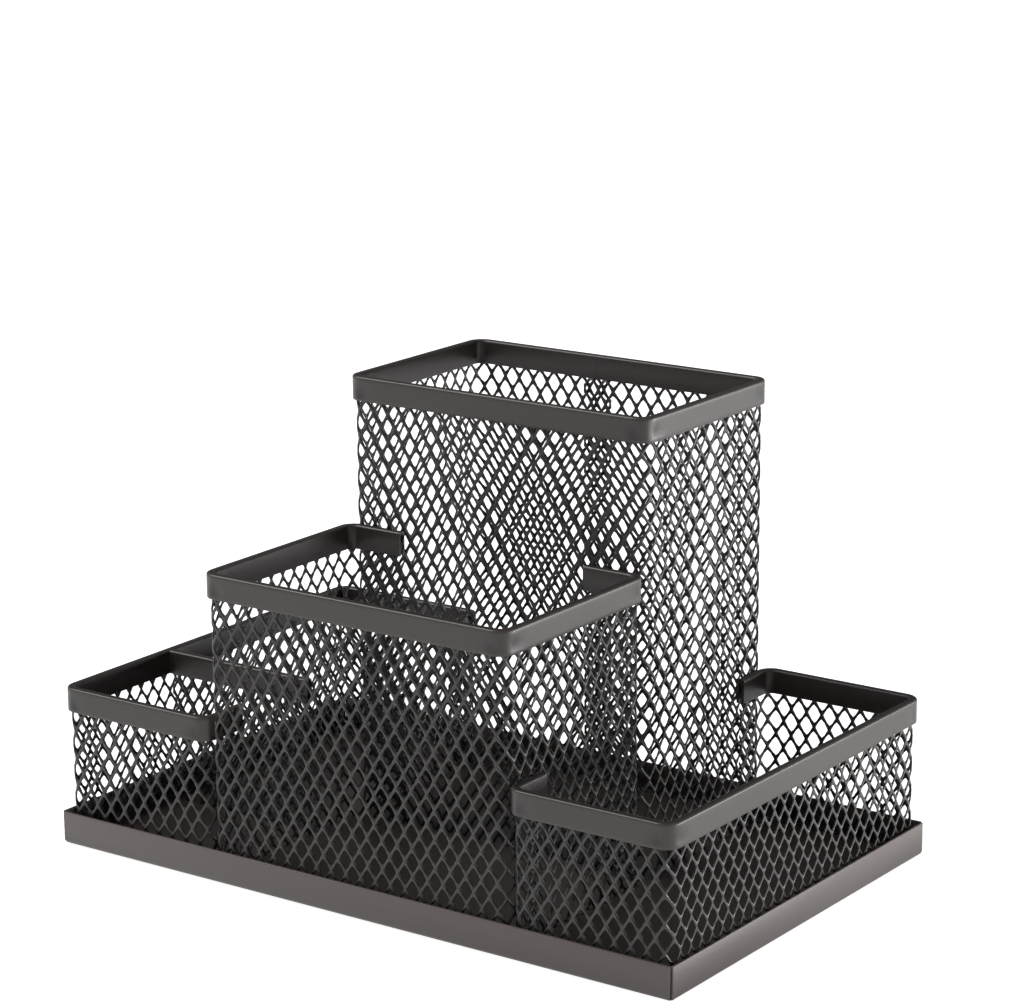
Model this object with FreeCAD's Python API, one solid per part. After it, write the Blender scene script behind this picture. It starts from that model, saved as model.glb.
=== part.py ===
"""Desk organizer of expanded steel mesh: a pencil cup, a front cup and two low trays on one base pan.

Millimetres.  The origin is on the desk, under the middle of the base pan.
+Z is up, the front of the organizer faces -Y and its left tray is on -X.
"""
import FreeCAD, Part
import math
import os

# ---- overall sizes -------------------------------------------------------
base_width = 165.0         # base pan, left to right
base_depth = 104.0         # base pan, front to back
base_height = 8.0          # top edge of the base pan's flanges above the desk
tall_height = 105.0        # top of the pencil cup's rim above the desk
front_cup_height = 70.8    # top of the front cup's rim above the desk
tray_height = 37.6         # top of both trays' rims above the desk

# ---- compartments --------------------------------------------------------
cup_width = 80.0           # pencil cup and front cup, over the mesh
cup_shift = 1.0            # how far the two cups stand right of the middle
tall_depth = 49.5          # pencil cup, front to back over the mesh
front_cup_tab = 15.0       # return tabs that carry the front cup on the pencil cup
tray_tab = 12.0            # return tabs that carry the trays on the cups
divider_from_cup = 17.2    # middle of the left tray's divider, in front of the pencil cup's wall

# ---- base pan ------------------------------------------------------------
pan_sheet = 0.6            # steel sheet of the pan
pan_bend = 0.8             # outer radius of the bends at the foot of the flanges
pan_slit = 0.7             # open slit where two flanges meet at a corner
wall_gap = 0.6             # clear gap between a flange and the mesh behind it

# ---- foot pads -----------------------------------------------------------
pad_radius = 5.0
pad_height = 0.5
pad_edge = 0.15            # rounding of a pad's lower edge
pad_inset = 12.0           # from the pan's sides to the middle of a pad

# ---- expanded mesh -------------------------------------------------------
mesh_sheet = 0.8           # thickness of the mesh
strand = 0.8               # width of one strand
pitch_width = 4.0          # diamond pitch along the wall
pitch_height = 6.4         # diamond pitch up the wall
mesh_border = 0.5          # least uncut border round a flat panel
wall_bend = 3.2            # outer radius of the mesh at an upright corner
lap_width = 7.0            # lapped seam inside the back wall of the pencil cup
lap_from_middle = 4.4      # middle of that seam, left of the pan's middle

# ---- rims ----------------------------------------------------------------
rim_sheet = 0.6            # steel strip folded over the top edge of the mesh
rim_height = 5.6
rim_edge = 0.45            # outer radius of the two folds along the top

# ---- worked out from the above -------------------------------------------
UP = FreeCAD.Vector(0, 0, 1)
half_mesh = mesh_sheet / 2
bend_middle = wall_bend - half_mesh
rim_half = half_mesh + rim_sheet
floor_top = pad_height + pan_sheet

wall_inset = pan_sheet + wall_gap + half_mesh
wall_left = -base_width / 2 + wall_inset
wall_right = base_width / 2 - wall_inset
wall_front = -base_depth / 2 + wall_inset
wall_back = base_depth / 2 - wall_inset

cup_left = cup_shift - cup_width / 2 + half_mesh
cup_right = cup_shift + cup_width / 2 - half_mesh
tall_front = wall_back - (tall_depth - mesh_sheet)

# A tab's mesh stands one rim thickness off the wall that its rim is welded to.
tab_offset = mesh_sheet + rim_sheet
front_cup_back = tall_front - tab_offset
left_tray_inner = cup_left - tab_offset
right_tray_inner = cup_right + tab_offset

divider_y = tall_front - divider_from_cup
divider_left = wall_left + rim_half
divider_right = cup_left - half_mesh


def at(x, y, z=0.0):
    return FreeCAD.Vector(x, y, z)


# ---- wall lines: middle of the mesh, seen from above ----------------------
tall_line = [at(cup_left, tall_front), at(cup_right, tall_front),
             at(cup_right, wall_back), at(cup_left, wall_back)]

front_cup_line = [at(cup_left - half_mesh + front_cup_tab, front_cup_back),
                  at(cup_left, front_cup_back),
                  at(cup_left, wall_front),
                  at(cup_right, wall_front),
                  at(cup_right, front_cup_back),
                  at(cup_right + half_mesh - front_cup_tab, front_cup_back)]


def tray_line(outer_x, inner_x):
    """A tray's line: tab, front wall, outer wall, back wall and tab."""
    tab_front = wall_front - half_mesh + tray_tab
    tab_back = wall_back + half_mesh - tray_tab
    return [at(inner_x, tab_front), at(inner_x, wall_front), at(outer_x, wall_front),
            at(outer_x, wall_back), at(inner_x, wall_back), at(inner_x, tab_back)]


def rounded(line, closed):
    """Split a wall line into flat runs and bends: [(start, end)] and [(start, corner, end)]."""
    count = len(line)
    bends = []
    for index in range(count):
        if not closed and index in (0, count - 1):
            continue
        corner = line[index]
        before = (line[index - 1] - corner).normalize()
        after = (line[(index + 1) % count] - corner).normalize()
        bends.append((corner + before * bend_middle, corner, corner + after * bend_middle))
    if closed:
        runs = [(bend[2], bends[(index + 1) % count][0]) for index, bend in enumerate(bends)]
    else:
        starts = [line[0]] + [bend[2] for bend in bends]
        ends = [bend[0] for bend in bends] + [line[-1]]
        runs = list(zip(starts, ends))
    return runs, bends


def bend_arc(start, corner, end, radius=bend_middle):
    """Quarter circle, round the bend's centre, at a radius of its own."""
    centre = start + end - corner
    scale = radius / bend_middle
    first = centre + (start - centre) * scale
    last = centre + (end - centre) * scale
    middle = centre + (corner - centre).normalize() * radius
    return Part.Arc(first, middle, last).toShape()


# ---- expanded mesh --------------------------------------------------------
def diamond_size():
    """Half width and half height of one opening, inside strands of the stated width."""
    half_w = pitch_width / 2
    half_h = pitch_height / 2
    side_distance = half_w * half_h / math.hypot(half_w, half_h)
    share = (side_distance - strand / 2) / side_distance
    return half_w * share, half_h * share


def diamond(x, z, half_w, half_h):
    return Part.makePolygon([at(x - half_w, 0, z), at(x, 0, z + half_h), at(x + half_w, 0, z),
                             at(x, 0, z - half_h), at(x - half_w, 0, z)])


def whole_steps(length, opening, step):
    """How many openings fit between the borders at this step, and where the first one stands."""
    free = length - 2 * mesh_border - opening
    count = int(free // step) + 1 if free > 0 else 0
    return count, (length - (count - 1) * step) / 2


def mesh_panel(start, end, bottom, top):
    """Flat panel of mesh between two points of a wall line, with whole diamonds only."""
    length = start.distanceToPoint(end)
    height = top - bottom
    half_w, half_h = diamond_size()
    columns, first_x = whole_steps(length, 2 * half_w, pitch_width / 2)
    rows, first_z = whole_steps(height, 2 * half_h, pitch_height / 2)
    wires = [Part.makePolygon([at(0, 0, 0), at(length, 0, 0), at(length, 0, height),
                               at(0, 0, height), at(0, 0, 0)])]
    for column in range(columns):
        for row in range(column % 2, rows, 2):
            wires.append(diamond(first_x + column * pitch_width / 2,
                                 first_z + row * pitch_height / 2, half_w, half_h))
    panel = Part.Face(wires).extrude(at(0, mesh_sheet, 0))
    panel.translate(at(0, -half_mesh, bottom))
    along = end - start
    turn = math.degrees(math.atan2(along.y, along.x))
    panel.rotate(at(0, 0), UP, turn)
    panel.translate(start)
    return panel


def mesh_bend(bend, bottom, top):
    """Bent strip that joins two flat panels round an upright corner."""
    outer = bend_arc(*bend, radius=bend_middle + half_mesh)
    inner = bend_arc(*bend, radius=bend_middle - half_mesh)
    outer_first, outer_last = [vertex.Point for vertex in outer.Vertexes]
    inner_first, inner_last = [vertex.Point for vertex in inner.Vertexes]
    sides = [Part.LineSegment(outer_first, inner_first).toShape(),
             Part.LineSegment(outer_last, inner_last).toShape()]
    outline = Part.Wire(Part.__sortEdges__([outer, inner] + sides))
    strip = Part.Face(outline).extrude(UP * (top - bottom))
    strip.translate(UP * bottom)
    return strip


def mesh_wall(line, height, closed=False):
    """All flat panels and bends of one mesh piece, from the pan's floor up into its rim."""
    runs, bends = rounded(line, closed)
    top = height - rim_sheet
    panels = [mesh_panel(start, end, floor_top, top) for start, end in runs]
    strips = [mesh_bend(bend, floor_top, top) for bend in bends]
    return panels + strips


# ---- rims -----------------------------------------------------------------
def channel_section(height):
    """Section of the folded rim across a wall that runs along X, with its middle at x = y = 0."""
    bottom = height - rim_height
    inner = half_mesh
    fold = rim_edge * (1 - math.sqrt(0.5))
    shoulder = height - rim_edge
    left_fold = Part.Arc(at(0, -rim_half, shoulder), at(0, -rim_half + fold, height - fold),
                         at(0, -rim_half + rim_edge, height)).toShape()
    right_fold = Part.Arc(at(0, rim_half - rim_edge, height), at(0, rim_half - fold, height - fold),
                          at(0, rim_half, shoulder)).toShape()
    crown = Part.LineSegment(at(0, -rim_half + rim_edge, height),
                             at(0, rim_half - rim_edge, height)).toShape()
    legs = Part.makePolygon([at(0, rim_half, shoulder), at(0, rim_half, bottom),
                             at(0, inner, bottom), at(0, inner, height - rim_sheet),
                             at(0, -inner, height - rim_sheet), at(0, -inner, bottom),
                             at(0, -rim_half, bottom), at(0, -rim_half, shoulder)])
    return Part.Wire([left_fold, crown, right_fold] + legs.Edges)


def rim(line, height, closed=False):
    """Rim strip folded over the top of a mesh wall, swept round the wall's bends."""
    runs, bends = rounded(line, closed)
    edges = []
    for index, (start, end) in enumerate(runs):
        edges.append(Part.LineSegment(start, end).toShape())
        if index < len(bends):
            bend = bends[(index + 1) % len(bends)] if closed else bends[index]
            edges.append(bend_arc(*bend))
    along = runs[0][1] - runs[0][0]
    section = channel_section(height)
    section.rotate(at(0, 0), UP, math.degrees(math.atan2(along.y, along.x)))
    section.translate(runs[0][0])
    return Part.Wire(edges).makePipeShell([section], True, False)


# ---- base pan and pads ----------------------------------------------------
def flange(length):
    """Bent-up flange along X with its outer face on y = 0, the pan's floor starting behind it."""
    inner_bend = pan_bend - pan_sheet
    fold = 1 - math.sqrt(0.5)
    under = pad_height
    outer = Part.Arc(at(0, pan_bend, under), at(0, pan_bend * fold, under + pan_bend * fold),
                     at(0, 0, under + pan_bend)).toShape()
    inner = Part.Arc(at(0, pan_sheet, under + pan_bend),
                     at(0, pan_sheet + inner_bend * fold, under + pan_sheet + inner_bend * fold),
                     at(0, pan_bend, under + pan_sheet)).toShape()
    face_outer = Part.makePolygon([at(0, 0, under + pan_bend), at(0, 0, base_height),
                                   at(0, pan_sheet, base_height),
                                   at(0, pan_sheet, under + pan_bend)])
    foot = Part.makePolygon([at(0, pan_bend, under + pan_sheet), at(0, pan_bend, under)])
    outline = Part.Wire([outer] + face_outer.Edges + [inner] + foot.Edges)
    solid = Part.Face(outline).extrude(at(length, 0, 0))
    solid.translate(at(-length / 2, 0, 0))
    return solid


def base_pan():
    """One sheet with its four edges bent up, an open slit left at each corner."""
    pan = Part.makeBox(base_width - 2 * pan_bend, base_depth - 2 * pan_bend, pan_sheet,
                       at(pan_bend - base_width / 2, pan_bend - base_depth / 2, pad_height))
    flanges = []
    for quarter in range(4):
        along, across = (base_width, base_depth) if quarter % 2 == 0 else (base_depth, base_width)
        side = flange(along - 2 * pan_slit)
        side.translate(at(0, -across / 2, 0))
        side.rotate(at(0, 0), UP, 90 * quarter)
        flanges.append(side)
    return pan.fuse(flanges).removeSplitter()


def foot_pad(x, y):
    pad = Part.makeCylinder(pad_radius, pad_height, at(x, y))
    lower = [edge for edge in pad.Edges
             if edge.Curve.TypeId == "Part::GeomCircle" and edge.CenterOfMass.z < pad_height / 2]
    return pad.makeFillet(pad_edge, lower)


def seam_lap():
    """Free end of the pencil cup's mesh, lapped over its other end inside the back wall."""
    middle = -lap_from_middle
    y = wall_back - mesh_sheet
    return mesh_panel(at(middle - lap_width / 2, y), at(middle + lap_width / 2, y),
                      floor_top, tall_height - rim_height)


# ---- nodes ----------------------------------------------------------------
left_tray_line = tray_line(wall_left, left_tray_inner)
right_tray_line = tray_line(wall_right, right_tray_inner)
divider_line = [at(divider_left, divider_y), at(divider_right, divider_y)]

nodes = {
    "base_pan": base_pan(),
    "tall_cup_mesh": Part.makeCompound(mesh_wall(tall_line, tall_height, closed=True)
                                       + [seam_lap()]),
    "tall_cup_rim": rim(tall_line, tall_height, closed=True),
    "front_cup_mesh": Part.makeCompound(mesh_wall(front_cup_line, front_cup_height)),
    "front_cup_rim": rim(front_cup_line, front_cup_height),
    "left_tray_mesh": Part.makeCompound(mesh_wall(left_tray_line, tray_height)),
    "left_tray_rim": rim(left_tray_line, tray_height),
    "left_divider_mesh": mesh_wall(divider_line, tray_height)[0],
    "left_divider_rim": rim(divider_line, tray_height),
    "right_tray_mesh": Part.makeCompound(mesh_wall(right_tray_line, tray_height)),
    "right_tray_rim": rim(right_tray_line, tray_height),
}
for y_name, y_sign in (("front", -1), ("back", 1)):
    for x_name, x_sign in (("left", -1), ("right", 1)):
        nodes[f"foot_pad_{y_name}_{x_name}"] = foot_pad(x_sign * (base_width / 2 - pad_inset),
                                                        y_sign * (base_depth / 2 - pad_inset))

os.makedirs("parts", exist_ok=True)
for name, shape in nodes.items():
    shape.exportStep(f"parts/{name}.step")
    print(f"{name}: {len(shape.Solids)} solids, {shape.Volume:.0f} mm3")
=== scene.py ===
"""Desk organizer of black expanded steel mesh: each piece in its real finish, round the frame."""
import math
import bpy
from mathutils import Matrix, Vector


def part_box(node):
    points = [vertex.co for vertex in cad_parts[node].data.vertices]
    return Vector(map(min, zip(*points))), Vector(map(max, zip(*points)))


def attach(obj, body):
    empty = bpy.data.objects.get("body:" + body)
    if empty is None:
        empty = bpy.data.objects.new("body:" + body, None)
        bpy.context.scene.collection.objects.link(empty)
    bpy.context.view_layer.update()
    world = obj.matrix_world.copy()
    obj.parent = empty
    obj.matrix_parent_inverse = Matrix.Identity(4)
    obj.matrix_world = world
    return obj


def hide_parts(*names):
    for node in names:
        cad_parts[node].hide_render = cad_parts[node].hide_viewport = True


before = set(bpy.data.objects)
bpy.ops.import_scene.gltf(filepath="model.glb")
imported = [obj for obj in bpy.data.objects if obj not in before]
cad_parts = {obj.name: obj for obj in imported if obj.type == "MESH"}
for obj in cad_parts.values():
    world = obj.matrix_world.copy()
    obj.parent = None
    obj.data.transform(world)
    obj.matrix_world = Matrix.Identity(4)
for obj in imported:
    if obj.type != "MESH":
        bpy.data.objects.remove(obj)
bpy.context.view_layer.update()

from types import SimpleNamespace

import bmesh
import bpy
from bpy.props import FloatProperty, FloatVectorProperty, PointerProperty
from mathutils import Matrix, Vector

bl_info = {
    "name": "Mesh Desk Organizer",
    "version": (1, 0, 0),
    "blender": (4, 5, 0),
    "location": "View3D > Sidebar > Organizer",
    "description": "Builds a desk organizer of expanded steel mesh round its frame",
    "category": "Object",
}

MM = 0.001

# Millimetres from each wall's top down to the middle of its first row: the shear cuts where it falls.
ROW_BELOW_TOP = {"tall_cup": 7.5, "front_cup": 6.2, "left_tray": 6.6, "left_divider": 5.8,
                 "right_tray": 5.0}
WALLS = tuple(ROW_BELOW_TOP)

OPENING_ROUNDNESS = 0.3     # how far the pull on the sheet rounds a diamond, from 0 to an oval at 1
OVAL_HEIGHT = 0.94          # height of that oval, as a share of the diamond's
STRAND_EDGE = 0.55          # thickness left at a strand's edge, as a share of its middle's
LAP_JOGGLE = 3.0            # mm over which the sleeve's last stretch steps inside its first

KINK_FROM_BEND = 2.4        # mm from the middle of a bend to the kink on each side of it
KINK_WIDTH = 1.1            # mm
KINK_RISE = 0.35            # middle of a kink, as a share of the rim's height
KINK_HEIGHT = 0.3           # its spread up and down, as a share of the rim's height

NEAR = 1e-4                 # mm within which two heights or offsets count as one


# ---- sizes and colours a user would change ---------------------------------
def length(name, millimetres, description):
    """A length property, its default given in millimetres."""
    return FloatProperty(name=name, description=description, default=millimetres * MM, min=0.0,
                         precision=5, unit="LENGTH")


def linear(hex_colour):
    """An sRGB hex colour as linear red, green and blue."""
    channels = [int(hex_colour[start:start + 2], 16) / 255 for start in (1, 3, 5)]
    return [c / 12.92 if c <= 0.04045 else ((c + 0.055) / 1.055) ** 2.4 for c in channels]


def colour(name, hex_colour, description):
    """A colour property, its default given as sRGB hex."""
    return FloatVectorProperty(name=name, description=description, default=linear(hex_colour),
                               subtype="COLOR", size=3, min=0.0, max=1.0)


class MeshSizes(bpy.types.PropertyGroup):
    """Expanded mesh: what one opening and its strands measure."""
    pitch_width: length("Pitch along the wall", 4.0, "From one opening to the next along the wall")
    pitch_height: length("Pitch up the wall", 6.4, "From one opening to the next up the wall")
    bond: length("Bond", 0.5, "Height of the solid bond where two strands meet")
    strand: length("Strand", 0.8, "Width of one strand")
    sheet: length("Sheet", 0.46, "Thickness of a strand along its middle")
    tilt: length("Tilt", 0.1, "How far the stretched sheet turns each strand's edges in and out")
    lap: length("Lap", 7.0, "Width of the lapped seam in the pencil cup's back wall")
    lap_from_middle: length("Lap from middle", 4.4, "Middle of that seam, left of the pan's middle")


class WallSizes(bpy.types.PropertyGroup):
    """Walls: what the frame's boxes don't say about the lines that they follow."""
    space: length("Space", 0.8, "Thickness that the frame gives the mesh")
    bend: length("Bend", 3.2, "Outer radius of the mesh at an upright corner")
    front_cup_tab: length("Front cup tab", 15.0, "Return tabs of the front cup")
    tray_tab: length("Tray tab", 12.0, "Return tabs of the trays")


class RimSizes(bpy.types.PropertyGroup):
    """Rims: the steel strip folded over the top of each mesh wall."""
    sheet: length("Sheet", 0.6, "Thickness of the strip")
    fold: length("Fold", 0.5, "Outer radius of the two folds along the top")
    edge: length("Edge", 0.18, "Rounding that the coat gives the strip's cut edges")
    crimp: length("Crimp", 0.3, "Depth of the kink beside each bend")
    joint: length("Joint", 0.06, "Gap where the two ends of the pencil cup's strip meet")


class PanSizes(bpy.types.PropertyGroup):
    """Base pan: one sheet with its four edges bent up."""
    sheet: length("Sheet", 0.6, "Thickness of the pan")
    bend: length("Bend", 0.8, "Outer radius at the foot of the flanges")
    slit: length("Slit", 0.55, "From the end of a flange to the pan's corner")
    edge: length("Edge", 0.16, "Rounding that the coat gives the cut edges")


class PadSizes(bpy.types.PropertyGroup):
    """Foot pads: thin foam discs under the pan."""
    edge: length("Edge", 0.15, "Rounding of a pad's lower edge")


class Colours(bpy.types.PropertyGroup):
    """Colours of the coat on each kind of piece, and of the foam."""
    mesh: colour("Mesh", "#2a2827", "Powder coat on the mesh")
    rim: colour("Rims", "#2f2928", "Powder coat on the rims")
    pan: colour("Base pan", "#3b3432", "Powder coat on the pan")
    pad: colour("Foot pads", "#26262a", "Foam rubber of the pads")
    floor: colour("Floor", "#f4f3f1", "Plain floor of the stage")


def settings(kind):
    return getattr(bpy.context.scene, "organizer_" + kind)


def sizes(kind):
    """One group's sizes in millimetres, the scale that the bmesh operators work at."""
    group = settings(kind)
    return SimpleNamespace(**{name: getattr(group, name) / MM for name in group.__annotations__})


def cad_box(node):
    """Lowest and highest corner of a CAD node, in millimetres."""
    low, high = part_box(node)
    return low / MM, high / MM


# ---- materials --------------------------------------------------------------
def add(tree, kind, inputs=None, **values):
    """Adds one node with its own values, and gives its inputs, by identifier, a value or a link."""
    node = tree.nodes.new(kind)
    for name, value in values.items():
        setattr(node, name, value)
    sockets = {socket.identifier: socket for socket in node.inputs}
    for name, value in (inputs or {}).items():
        if isinstance(value, bpy.types.NodeSocket):
            tree.links.new(value, sockets[name])
        else:
            sockets[name].default_value = value
    return node


def output(node, identifier):
    """A node's output socket; a Mix node's outputs share one name and differ by identifier."""
    return next(socket for socket in node.outputs if socket.identifier == identifier)


def new_material(name):
    material = bpy.data.materials.get(name)
    if material:
        return material, None
    material = bpy.data.materials.new(name)
    material.use_nodes = True
    material.node_tree.nodes.clear()
    return material, material.node_tree


def per_metre(millimetres):
    """Noise scale whose features are about this size."""
    return 1 / (millimetres * MM)


def shaded(base, factor, lift=0.0):
    """A colour as a shader socket takes it, made lighter or darker."""
    return (*[channel * factor + lift for channel in base], 1.0)


def powder_coat(name, base, roughness, thin_coat_and_painted_highlight=0.35):
    """Satin black powder coat, sprayed as dry powder and baked on steel.

    The melt levels out to a fine orange peel, so reflections are broad and a little grainy. Folds and
    cut edges are painted paler, partly for a thinner coat there and partly as a painted highlight
    along the folds. Beside each bend the kink is painted nearly black, a painted shade standing in
    for its dark reflection.
    """
    material, tree = new_material(name)
    if tree is None:
        return material
    place = add(tree, "ShaderNodeTexCoord").outputs["Object"]
    # Orange peel is about 0.5 mm across; drawn at 0.8 mm, or it is lost between two samples.
    peel = add(tree, "ShaderNodeTexNoise", {"Vector": place, "Scale": per_metre(0.8), "Detail": 3.0,
                                            "Roughness": 0.55})
    # Spray passes leave the film uneven over a few centimetres.
    film = add(tree, "ShaderNodeTexNoise", {"Vector": place, "Scale": per_metre(24.0), "Detail": 2.0})
    edge = add(tree, "ShaderNodeAttribute", attribute_name="edge", attribute_type="GEOMETRY")
    thin = add(tree, "ShaderNodeMath", {"Value": edge.outputs["Fac"], "Value_001": thin_coat_and_painted_highlight},
               operation="MULTIPLY")
    cloudy = add(tree, "ShaderNodeMix", {
        "Factor_Float": film.outputs["Fac"], "A_Color": shaded(base, 0.82),
        "B_Color": shaded(base, 1.18)}, data_type="RGBA")
    # Painted highlight: folds and cut edges are drawn towards a pale coat, partly a thinner coat
    # there.
    coat_with_pale_edges_and_painted_highlight = add(tree, "ShaderNodeMix", {
        "Factor_Float": thin.outputs["Value"], "A_Color": output(cloudy, "Result_Color"),
        "B_Color": shaded(base, 3.2, 0.012)}, data_type="RGBA")
    # Painted shade: the coat goes nearly black beside each bend, standing in for the kink's dark
    # reflection.
    kink = add(tree, "ShaderNodeAttribute", attribute_name="kink", attribute_type="GEOMETRY")
    kink_painted_shade = add(tree, "ShaderNodeMix", {
        "Factor_Float": kink.outputs["Fac"], "A_Color": output(coat_with_pale_edges_and_painted_highlight, "Result_Color"),
        "B_Color": shaded(base, 0.1)}, data_type="RGBA")
    shine = add(tree, "ShaderNodeMapRange", {"Value": film.outputs["Fac"], "To Min": roughness - 0.05,
                                             "To Max": roughness + 0.07})
    relief = add(tree, "ShaderNodeBump", {"Height": peel.outputs["Fac"], "Strength": 0.55,
                                          "Distance": 0.03 * MM})
    shader = add(tree, "ShaderNodeBsdfPrincipled", {
        "Base Color": output(kink_painted_shade, "Result_Color"),
        "Roughness": shine.outputs["Result"], "Normal": relief.outputs["Normal"], "IOR": 1.5})
    add(tree, "ShaderNodeOutputMaterial", {"Surface": shader.outputs["BSDF"]})
    return material


def foam_rubber(name, base):
    """Closed-cell foam rubber, die cut: matt, with pores that show as a fine dark grain."""
    material, tree = new_material(name)
    if tree is None:
        return material
    place = add(tree, "ShaderNodeTexCoord").outputs["Object"]
    pores = add(tree, "ShaderNodeTexVoronoi", {"Vector": place, "Scale": per_metre(0.5)})
    shade = add(tree, "ShaderNodeMapRange", {"Value": pores.outputs["Distance"], "To Min": 0.9,
                                             "To Max": 0.8})
    relief = add(tree, "ShaderNodeBump", {"Height": pores.outputs["Distance"], "Strength": 0.6,
                                          "Distance": 0.06 * MM})
    shader = add(tree, "ShaderNodeBsdfPrincipled", {
        "Base Color": shaded(base, 1.0), "Roughness": shade.outputs["Result"],
        "Normal": relief.outputs["Normal"], "IOR": 1.5})
    add(tree, "ShaderNodeOutputMaterial", {"Surface": shader.outputs["BSDF"]})
    return material


def opal_acrylic(name, base):
    """Opal acrylic of a light table, lit evenly from below: matt, white and nearly free of shadow."""
    material, tree = new_material(name)
    if tree is None:
        return material
    shader = add(tree, "ShaderNodeBsdfPrincipled", {
        "Base Color": shaded(base, 1.0), "Roughness": 0.9, "Emission Color": (1.0, 1.0, 1.0, 1.0),
        "Emission Strength": 0.9})
    add(tree, "ShaderNodeOutputMaterial", {"Surface": shader.outputs["BSDF"]})
    return material


# ---- wall lines, seen from above ---------------------------------------------
class WallLine:
    """Middle line of a wall: flat runs joined by bends, walked with the outside on the right."""

    def __init__(self, corners, radius):
        self.stretches = []
        corners = [Vector(corner) for corner in corners]
        start = corners[0]
        for before, corner, after in zip(corners, corners[1:], corners[2:]):
            heading = (corner - before).normalized()
            leaving = (after - corner).normalized()
            turn = 1 if heading.cross(leaving) > 0 else -1
            bend_start = corner - heading * radius
            self.stretches.append(("run", start, heading, (bend_start - start).length, 0))
            self.stretches.append(("bend", bend_start, heading, radius * math.pi / 2, turn))
            start = corner + leaving * radius
        last = corners[-1] - start
        self.stretches.append(("run", start, last.normalized(), last.length, 0))
        self.radius = radius
        self.length = sum(stretch[3] for stretch in self.stretches)

    def at(self, distance):
        """Point and outward direction at a distance along the line."""
        for index, (kind, start, heading, size, turn) in enumerate(self.stretches):
            if distance <= size or index == len(self.stretches) - 1:
                break
            distance -= size
        if kind == "bend":
            angle = turn * distance / self.radius
            left = Vector((-heading.y, heading.x)) * turn
            centre = start + left * self.radius
            start = centre + (Matrix.Rotation(angle, 2) @ (-left * self.radius))
            heading = Matrix.Rotation(angle, 2) @ heading
            distance = 0.0
        return start + heading * distance, Vector((heading.y, -heading.x))

    def bends(self):
        """Distance of the middle of each bend from the line's start."""
        found, passed = [], 0.0
        for kind, _, _, size, _ in self.stretches:
            if kind == "bend":
                found.append(passed + size / 2)
            passed += size
        return found

    def stations(self, run_step, bend_steps):
        """Distances where a strip laid along the line is divided."""
        found, passed = [0.0], 0.0
        for kind, _, _, size, _ in self.stretches:
            count = bend_steps if kind == "bend" else max(1, round(size / run_step))
            found += [passed + size * (step + 1) / count for step in range(count)]
            passed += size
        return found


def wall_middles(node):
    """Where the middles of a node's left, right, front and back walls stand, from its mesh's box."""
    half = sizes("walls").space / 2
    low, high = cad_box(node + "_mesh")
    return low.x + half, high.x - half, low.y + half, high.y - half


def wall_line(node):
    """The line that a node's walls follow."""
    walls, mesh = sizes("walls"), sizes("mesh")
    low, high = cad_box(node + "_mesh")
    left, right, front, back = wall_middles(node)
    tray_front, tray_back = low.y + walls.tray_tab, high.y - walls.tray_tab
    seam = mesh.lap / 2 - mesh.lap_from_middle
    corners = {
        "tall_cup": [(seam, back), (left, back), (left, front), (right, front), (right, back),
                     (seam - mesh.lap, back)],
        "front_cup": [(low.x + walls.front_cup_tab, back), (left, back), (left, front),
                      (right, front), (right, back), (high.x - walls.front_cup_tab, back)],
        "left_tray": [(right, tray_back), (right, back), (left, back), (left, front),
                      (right, front), (right, tray_front)],
        "right_tray": [(left, tray_front), (left, front), (right, front), (right, back),
                       (left, back), (left, tray_back)],
        "left_divider": [(low.x, (front + back) / 2), (high.x, (front + back) / 2)],
    }
    return WallLine(corners[node], walls.bend - walls.space / 2)


def tall_rim_line():
    """The pencil cup's line for its rim, whose two ends meet over the middle of the sleeve's lap."""
    walls, joint = sizes("walls"), sizes("rims").joint
    left, right, front, back = wall_middles("tall_cup")
    seam = -sizes("mesh").lap_from_middle
    return WallLine([(seam, back), (left, back), (left, front), (right, front), (right, back),
                     (seam + joint, back)], walls.bend - walls.space / 2)


def wrap(bm, line):
    """Lays a flat piece along a wall line: X becomes distance along it, Y distance outside it."""
    for vertex in bm.verts:
        point, outward = line.at(vertex.co.x)
        vertex.co.xy = point + outward * vertex.co.y


# ---- finishing a piece --------------------------------------------------------
def make_piece(bm, name, node, material, sharp=None):
    """Turns a bmesh in millimetres into a piece that stands for a CAD node."""
    bmesh.ops.scale(bm, vec=(MM, MM, MM), verts=bm.verts)
    mesh = bpy.data.meshes.new(name)
    bm.to_mesh(mesh)
    bm.free()
    mesh.shade_smooth()
    if sharp:
        mesh.set_sharp_from_angle(angle=math.radians(sharp))
    mesh.materials.append(material)
    piece = bpy.data.objects.new(name, mesh)
    bpy.context.scene.collection.objects.link(piece)
    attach(piece, "root")
    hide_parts(node)
    return piece


def moved(geometry):
    return [item for item in geometry if isinstance(item, bmesh.types.BMVert)]


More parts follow.
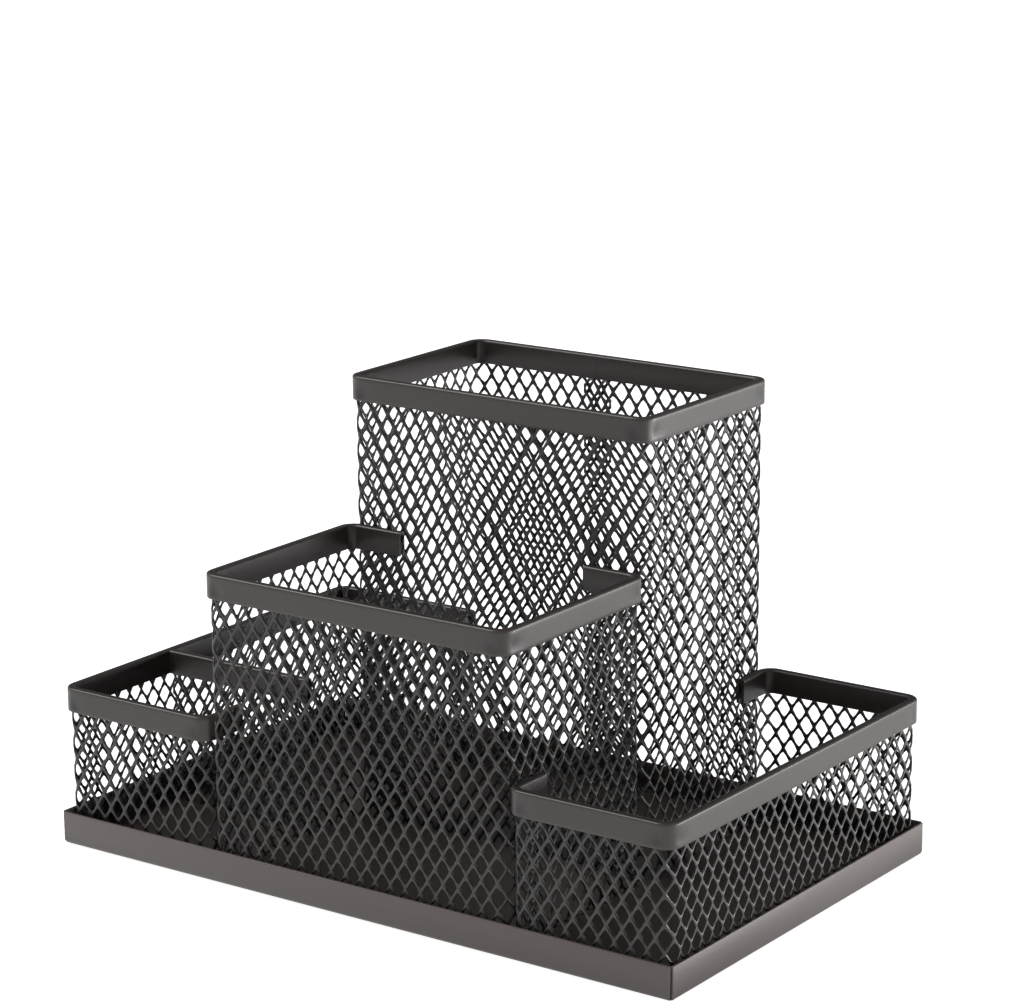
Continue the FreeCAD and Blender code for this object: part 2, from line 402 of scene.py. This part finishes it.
# ---- expanded mesh --------------------------------------------------------------
def mesh_cell(mesh):
    """Strands round one opening of the flat mesh, in X and Z, each out to its own middle line."""
    bm = bmesh.new()
    bmesh.ops.create_circle(bm, cap_ends=True, segments=6, radius=1.0)
    tips = [v for v in bm.verts if abs(v.co.x) < 0.1]
    flanks = [v for v in bm.verts if v not in tips]
    half_width = mesh.pitch_width / 2
    bmesh.ops.scale(bm, verts=tips, vec=(1, (mesh.pitch_height - mesh.bond) / 2, 1))
    bmesh.ops.scale(bm, verts=flanks, vec=(half_width / math.cos(math.pi / 6), mesh.bond, 1))
    bmesh.ops.rotate(bm, verts=bm.verts, matrix=Matrix.Rotation(math.pi / 2, 3, "X"))
    bmesh.ops.subdivide_edges(bm, edges=bm.edges[:], cuts=1)
    (opening,) = bm.faces
    bmesh.ops.inset_individual(bm, faces=[opening], thickness=mesh.strand / 2, use_even_offset=True)
    widest = max(v.co.x for v in opening.verts)
    tallest = max(v.co.z for v in opening.verts)
    for vertex in opening.verts:
        angle = math.atan2(vertex.co.z / tallest, vertex.co.x / widest)
        oval = Vector((widest * math.cos(angle), 0, OVAL_HEIGHT * tallest * math.sin(angle)))
        vertex.co = vertex.co.lerp(oval, OPENING_ROUNDNESS)
        vertex.co.y = mesh.tilt * vertex.co.x / widest
    bmesh.ops.delete(bm, geom=[opening], context="FACES_ONLY")
    return bm


def tile(bm, count, step):
    """Copies all that the bmesh holds, each copy one step further, to count in all."""
    source = bm.verts[:] + bm.edges[:] + bm.faces[:]
    for index in range(1, count):
        copy = bmesh.ops.duplicate(bm, geom=source)["geom"]
        bmesh.ops.translate(bm, verts=moved(copy), vec=Vector(step) * index)


def trim(bm, point, direction):
    """Cuts the bmesh at a plane and clears what lies beyond it."""
    bmesh.ops.bisect_plane(bm, geom=bm.verts[:] + bm.edges[:] + bm.faces[:], dist=NEAR,
                           plane_co=point, plane_no=direction, clear_outer=True)


def flat_mesh(mesh, width, bottom, top, row):
    """Flat expanded mesh in X and Z, with one row of openings at a given height, sheared to size."""
    bm = mesh_cell(mesh)
    tile(bm, 2, (mesh.pitch_width / 2, 0, mesh.pitch_height / 2))
    tile(bm, math.ceil(width / mesh.pitch_width) + 1, (mesh.pitch_width, 0, 0))
    tile(bm, math.ceil((top - bottom) / mesh.pitch_height) + 2, (0, 0, mesh.pitch_height))
    first = (row - bottom) % mesh.pitch_height - mesh.pitch_height
    bmesh.ops.translate(bm, verts=bm.verts, vec=(0, 0, bottom + first))
    bmesh.ops.remove_doubles(bm, verts=bm.verts, dist=0.01)
    trim(bm, (0, 0, 0), (-1, 0, 0))
    trim(bm, (width, 0, 0), (1, 0, 0))
    trim(bm, (0, 0, bottom), (0, 0, -1))
    trim(bm, (0, 0, top), (0, 0, 1))
    return bm


def lay_lap(bm, line, mesh, space, rim_bottom):
    """Laps the sleeve's last stretch inside its first, and cuts it off where the rim begins."""
    lap_start = line.length - mesh.lap - LAP_JOGGLE
    bmesh.ops.bisect_plane(bm, geom=bm.verts[:] + bm.edges[:] + bm.faces[:], dist=NEAR,
                           plane_co=(0, 0, rim_bottom), plane_no=(0, 0, 1))
    middles = {face: face.calc_center_median() for face in bm.faces}
    hidden = [face for face, at in middles.items() if at.x > lap_start and at.z > rim_bottom]
    bmesh.ops.delete(bm, geom=hidden, context="FACES")
    for vertex in bm.verts:
        share = min(1.0, max(0.0, (vertex.co.x - lap_start) / LAP_JOGGLE))
        vertex.co.y -= space * share * share * (3 - 2 * share)


def make_mesh_wall(node):
    """One mesh sleeve or wall, from the pan's floor up into its rim."""
    mesh = sizes("mesh")
    line = wall_line(node)
    low, high = cad_box(node + "_mesh")
    bm = flat_mesh(mesh, line.length, low.z, high.z, high.z - ROW_BELOW_TOP[node])
    middle = bm.verts.layers.deform.verify()
    for vertex in bm.verts:
        vertex[middle][0] = 1.0 if abs(vertex.co.y) < 0.02 else 0.0
    if node == "tall_cup":
        lay_lap(bm, line, mesh, sizes("walls").space, cad_box(node + "_rim")[0].z)
    wrap(bm, line)
    coat = powder_coat("powder_coat_on_mesh", settings("colours").mesh, roughness=0.4)
    piece = make_piece(bm, node + "_expanded_mesh", node + "_mesh", coat)
    piece.vertex_groups.new(name="strand_middle")
    thickness = piece.modifiers.new("strand_thickness", "SOLIDIFY")
    thickness.thickness = settings("mesh").sheet
    thickness.offset = 0.0
    thickness.vertex_group = "strand_middle"
    thickness.thickness_vertex_group = STRAND_EDGE
    return piece


# ---- rims ---------------------------------------------------------------------
def rim_section(bm, rim, space, bottom, top):
    """Section of the folded strip at X = 0, as one face with rounded folds and coated edges."""
    inner, outer = space / 2, space / 2 + rim.sheet
    ceiling = top - rim.sheet
    points = [(outer, bottom), (outer, top), (-outer, top), (-outer, bottom),
              (-inner, bottom), (-inner, ceiling), (inner, ceiling), (inner, bottom)]
    section = bm.faces.new([bm.verts.new((0, y, z)) for y, z in points])
    for height, radius, segments in ((top, rim.fold, 4), (bottom, rim.edge, 2)):
        corners = [v for v in section.verts if abs(v.co.z - height) < NEAR]
        bmesh.ops.bevel(bm, geom=corners, offset=radius, offset_type="OFFSET", affect="VERTICES",
                        segments=segments, profile=0.5, material=-1)
        (section,) = bm.faces
    outer_leg = [e for e in section.edges if all(abs(v.co.y - outer) < NEAR for v in e.verts)]
    bmesh.ops.subdivide_edges(bm, edges=outer_leg, cuts=7)
    (section,) = bm.faces
    return section


def crimp_bends(bm, line, rim, space, bottom, top):
    """Kinks that the bending tool leaves low on the strip's outer leg at both sides of a bend, marked
    where the coat is painted dark as their shade.
    """
    layer = bm.verts.layers.float.new("kink")
    leg = [vertex for vertex in bm.verts if vertex.co.y > space / 2 + 0.01]
    for vertex in leg:
        rise = (vertex.co.z - bottom) / (top - bottom)
        low = math.exp(-((rise - KINK_RISE) / KINK_HEIGHT) ** 2)
        for bend in line.bends():
            for side in (-1, 1):
                away = (vertex.co.x - bend - side * KINK_FROM_BEND) / KINK_WIDTH
                dent = low * math.exp(-away * away)
                vertex.co.y -= rim.crimp * dent
                # How strongly the painted shade darkens the coat at this vertex.
                vertex[layer] = max(vertex[layer], dent)


def mark_edges(bm, near):
    """Writes where folds and edges are painted paler, for a thinner coat and a painted highlight: 1
    at vertices that near() accepts, 0 elsewhere.
    """
    layer = bm.verts.layers.float.new("edge")
    for vertex in bm.verts:
        vertex[layer] = 1.0 if near(vertex.co) else 0.0


def make_rim(node):
    """The folded strip over one wall's top edge, bent round its corners."""
    rim, walls = sizes("rims"), sizes("walls")
    line = tall_rim_line() if node == "tall_cup" else wall_line(node)
    low, high = cad_box(node + "_rim")
    bottom, top = low.z, high.z
    bm = bmesh.new()
    section = rim_section(bm, rim, walls.space, bottom, top)
    loop = section.edges[:]
    stations = line.stations(run_step=2.0, bend_steps=8)
    for before, after in zip(stations, stations[1:]):
        new = bmesh.ops.extrude_edge_only(bm, edges=loop)["geom"]
        bmesh.ops.translate(bm, verts=moved(new), vec=(after - before, 0, 0))
        loop = [item for item in new if isinstance(item, bmesh.types.BMEdge)]
    bmesh.ops.edgeloop_fill(bm, edges=loop)
    bmesh.ops.recalc_face_normals(bm, faces=bm.faces)
    outer = walls.space / 2 + rim.sheet
    # The folds and the lower cut edge are marked for the paler coat with its painted highlight.
    mark_edges(bm, lambda co: (top - co.z < rim.fold * 0.9 and abs(co.y) > outer - rim.fold * 0.9)
               or (co.z - bottom < rim.edge and abs(co.y) > outer - rim.edge))
    crimp_bends(bm, line, rim, walls.space, bottom, top)
    wrap(bm, line)
    coat = powder_coat("powder_coat_on_rims", settings("colours").rim, roughness=0.36, thin_coat_and_painted_highlight=0.5)
    return make_piece(bm, node + "_folded_rim", node + "_rim", coat, sharp=50)


# ---- base pan -------------------------------------------------------------------
def make_pan():
    """One sheet with its four edges bent up, an open slit left at each corner."""
    pan = sizes("pan")
    low, high = cad_box("base_pan")
    flat_x, flat_y = high.x - pan.bend, high.y - pan.bend
    bm = bmesh.new()
    bmesh.ops.create_grid(bm, x_segments=1, y_segments=1, size=1.0)
    bmesh.ops.scale(bm, verts=bm.verts, vec=(flat_x, flat_y, 1))
    bmesh.ops.translate(bm, verts=bm.verts, vec=(0, 0, low.z))
    for fold in bm.edges[:]:
        middle = (fold.verts[0].co + fold.verts[1].co) / 2
        outward = Vector((middle.x, middle.y, 0)).normalized()
        axis = outward.cross(Vector((0, 0, 1)))
        centre = middle + Vector((0, 0, pan.bend))
        bent = bmesh.ops.spin(bm, geom=[fold, *fold.verts], cent=centre, axis=axis,
                              dvec=(0, 0, 0), angle=math.pi / 2, steps=6,
                              use_duplicate=False)["geom_last"]
        edge = next(item for item in bent if isinstance(item, bmesh.types.BMEdge))
        upright = bmesh.ops.extrude_edge_only(bm, edges=[edge])["geom"]
        bmesh.ops.translate(bm, verts=moved(upright), vec=(0, 0, high.z - low.z - pan.bend))
        stretch = (high.x - pan.slit) / flat_x if abs(outward.y) > 0.5 else 1.0
        lengthen = (high.y - pan.slit) / flat_y if abs(outward.x) > 0.5 else 1.0
        bmesh.ops.scale(bm, verts=moved(bent) + moved(upright), vec=(stretch, lengthen, 1))
    bmesh.ops.recalc_face_normals(bm, faces=bm.faces)
    floor = min(bm.faces, key=lambda face: face.calc_center_median().z)
    if floor.normal.z > 0:
        bmesh.ops.reverse_faces(bm, faces=bm.faces)
    # The flanges' top edges are marked for the paler coat with its painted highlight.
    mark_edges(bm, lambda co: co.z > high.z - 0.01)
    coat = powder_coat("powder_coat_on_pan", settings("colours").pan, roughness=0.4, thin_coat_and_painted_highlight=0.5)
    piece = make_piece(bm, "base_pan_sheet", "base_pan", coat, sharp=50)
    thickness = piece.modifiers.new("sheet_thickness", "SOLIDIFY")
    thickness.thickness = settings("pan").sheet
    thickness.offset = -1.0
    thickness.use_even_offset = True
    rounding = piece.modifiers.new("coated_edges", "BEVEL")
    rounding.width = settings("pan").edge
    rounding.segments = 2
    rounding.limit_method = "ANGLE"
    rounding.angle_limit = math.radians(60)
    return piece


# ---- foot pads --------------------------------------------------------------------
def make_pad(node):
    """A thin foam disc with a rounded lower edge, stuck under the pan."""
    pad = sizes("pads")
    low, high = cad_box(node)
    middle = (low + high) / 2
    radius = (high.x - low.x) / 2
    bm = bmesh.new()
    bmesh.ops.create_circle(bm, cap_ends=True, segments=48, radius=radius)
    bmesh.ops.translate(bm, verts=bm.verts, vec=(middle.x, middle.y, low.z))
    (disc,) = bm.faces
    lower = disc.edges[:]
    raised = bmesh.ops.extrude_face_region(bm, geom=[disc], use_keep_orig=True)["geom"]
    bmesh.ops.translate(bm, verts=moved(raised), vec=(0, 0, high.z - low.z))
    bmesh.ops.bevel(bm, geom=lower, offset=pad.edge, offset_type="OFFSET", affect="EDGES",
                    segments=3, profile=0.5, material=-1)
    bmesh.ops.recalc_face_normals(bm, faces=bm.faces)
    foam = foam_rubber("foam_rubber", settings("colours").pad)
    return make_piece(bm, node + "_foam", node, foam, sharp=40)


# ---- stage ----------------------------------------------------------------------
CAMERA_PLACE = (0.42499, -0.58405, 0.26628)
CAMERA_YAW = 35.603
CAMERA_PITCH = 14.38
CAMERA_ROLL = -0.415
CAMERA_LENS = 118.98        # mm, on a 36 mm wide sensor


def make_camera():
    """Camera at the viewing angle, looking a little down at the organizer's right front corner."""
    yaw, pitch, roll = (math.radians(a) for a in (CAMERA_YAW, CAMERA_PITCH, CAMERA_ROLL))
    camera = bpy.data.objects.new("camera", bpy.data.cameras.new("camera"))
    camera.data.lens = CAMERA_LENS
    camera.data.sensor_width = 36.0
    camera.data.clip_start = 0.01
    turn = (Matrix.Rotation(yaw, 4, "Z") @ Matrix.Rotation(math.pi / 2 - pitch, 4, "X")
            @ Matrix.Rotation(roll, 4, "Z"))
    camera.matrix_world = Matrix.Translation(CAMERA_PLACE) @ turn
    bpy.context.scene.collection.objects.link(camera)
    bpy.context.scene.camera = camera


def make_light(name, place, width, height, power):
    """A soft rectangular lamp aimed at the organizer."""
    light = bpy.data.lights.new(name, "AREA")
    light.shape = "RECTANGLE"
    light.size, light.size_y = width, height
    light.energy = power
    lamp = bpy.data.objects.new(name, light)
    aim = (Vector((0, 0, 0.05)) - Vector(place)).to_track_quat("-Z", "Y")
    lamp.matrix_world = Matrix.Translation(place) @ aim.to_matrix().to_4x4()
    bpy.context.scene.collection.objects.link(lamp)


def make_floor():
    bm = bmesh.new()
    bmesh.ops.create_grid(bm, x_segments=1, y_segments=1, size=6.0)
    mesh = bpy.data.meshes.new("floor")
    bm.to_mesh(mesh)
    bm.free()
    mesh.materials.append(opal_acrylic("opal_acrylic_on_floor", settings("colours").floor))
    floor = bpy.data.objects.new("floor", mesh)
    bpy.context.scene.collection.objects.link(floor)


def make_world():
    world = bpy.data.worlds.new("soft_white_room")
    world.use_nodes = True
    background = world.node_tree.nodes["Background"]
    background.inputs["Color"].default_value = (1.0, 1.0, 1.0, 1.0)
    background.inputs["Strength"].default_value = 0.14
    bpy.context.scene.world = world


# ---- operators ---------------------------------------------------------------------
class ORGANIZER_OT_base_pan(bpy.types.Operator):
    """Bend up the base pan from one sheet"""
    bl_idname = "organizer.base_pan"
    bl_label = "Base Pan"

    def execute(self, context):
        make_pan()
        return {"FINISHED"}


class ORGANIZER_OT_mesh_walls(bpy.types.Operator):
    """Stretch the expanded mesh of both cups, both trays and the divider"""
    bl_idname = "organizer.mesh_walls"
    bl_label = "Mesh Walls"

    def execute(self, context):
        for node in WALLS:
            make_mesh_wall(node)
        return {"FINISHED"}


class ORGANIZER_OT_rims(bpy.types.Operator):
    """Fold a steel strip over the top of every mesh wall"""
    bl_idname = "organizer.rims"
    bl_label = "Rims"

    def execute(self, context):
        for node in WALLS:
            make_rim(node)
        return {"FINISHED"}


class ORGANIZER_OT_foot_pads(bpy.types.Operator):
    """Stick the four foam pads under the pan"""
    bl_idname = "organizer.foot_pads"
    bl_label = "Foot Pads"

    def execute(self, context):
        for node in sorted(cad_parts):
            if node.startswith("foot_pad_"):
                make_pad(node)
        return {"FINISHED"}


class ORGANIZER_OT_stage(bpy.types.Operator):
    """Set up the floor, the soft lamps and the camera"""
    bl_idname = "organizer.stage"
    bl_label = "Stage"

    def execute(self, context):
        make_world()
        make_floor()
        make_light("left_softbox", (-0.9, -0.4, 1.25), 0.8, 0.8, 16.0)
        make_light("right_strip", (1.0, 0.75, 0.06), 0.7, 0.1, 8.0)
        make_light("right_low_strip", (0.36, 0.1, 0.03), 0.3, 0.04, 0.4)
        make_camera()
        context.scene.view_settings.view_transform = "Standard"
        return {"FINISHED"}


class ORGANIZER_PT_panel(bpy.types.Panel):
    """Lists the organizer's pieces, sizes and colours"""
    bl_idname = "ORGANIZER_PT_panel"
    bl_label = "Mesh Desk Organizer"
    bl_space_type = "VIEW_3D"
    bl_region_type = "UI"
    bl_category = "Organizer"

    def draw(self, context):
        for operator in OPERATORS:
            self.layout.operator(operator.bl_idname)
        for kind in GROUPS:
            box = self.layout.box()
            box.label(text=kind.capitalize())
            for name in GROUPS[kind].__annotations__:
                box.prop(settings(kind), name)


GROUPS = {"mesh": MeshSizes, "walls": WallSizes, "rims": RimSizes, "pan": PanSizes,
          "pads": PadSizes, "colours": Colours}
OPERATORS = (ORGANIZER_OT_base_pan, ORGANIZER_OT_mesh_walls, ORGANIZER_OT_rims,
             ORGANIZER_OT_foot_pads, ORGANIZER_OT_stage)
CLASSES = (*GROUPS.values(), *OPERATORS, ORGANIZER_PT_panel)


def register():
    for item in CLASSES:
        bpy.utils.register_class(item)
    for kind, group in GROUPS.items():
        setattr(bpy.types.Scene, "organizer_" + kind, PointerProperty(type=group))


def unregister():
    for kind in GROUPS:
        delattr(bpy.types.Scene, "organizer_" + kind)
    for item in reversed(CLASSES):
        bpy.utils.unregister_class(item)


def main():
    register()
    bpy.ops.organizer.stage()
    bpy.ops.organizer.base_pan()
    bpy.ops.organizer.mesh_walls()
    bpy.ops.organizer.rims()
    bpy.ops.organizer.foot_pads()


if __name__ == "__main__":
    main()
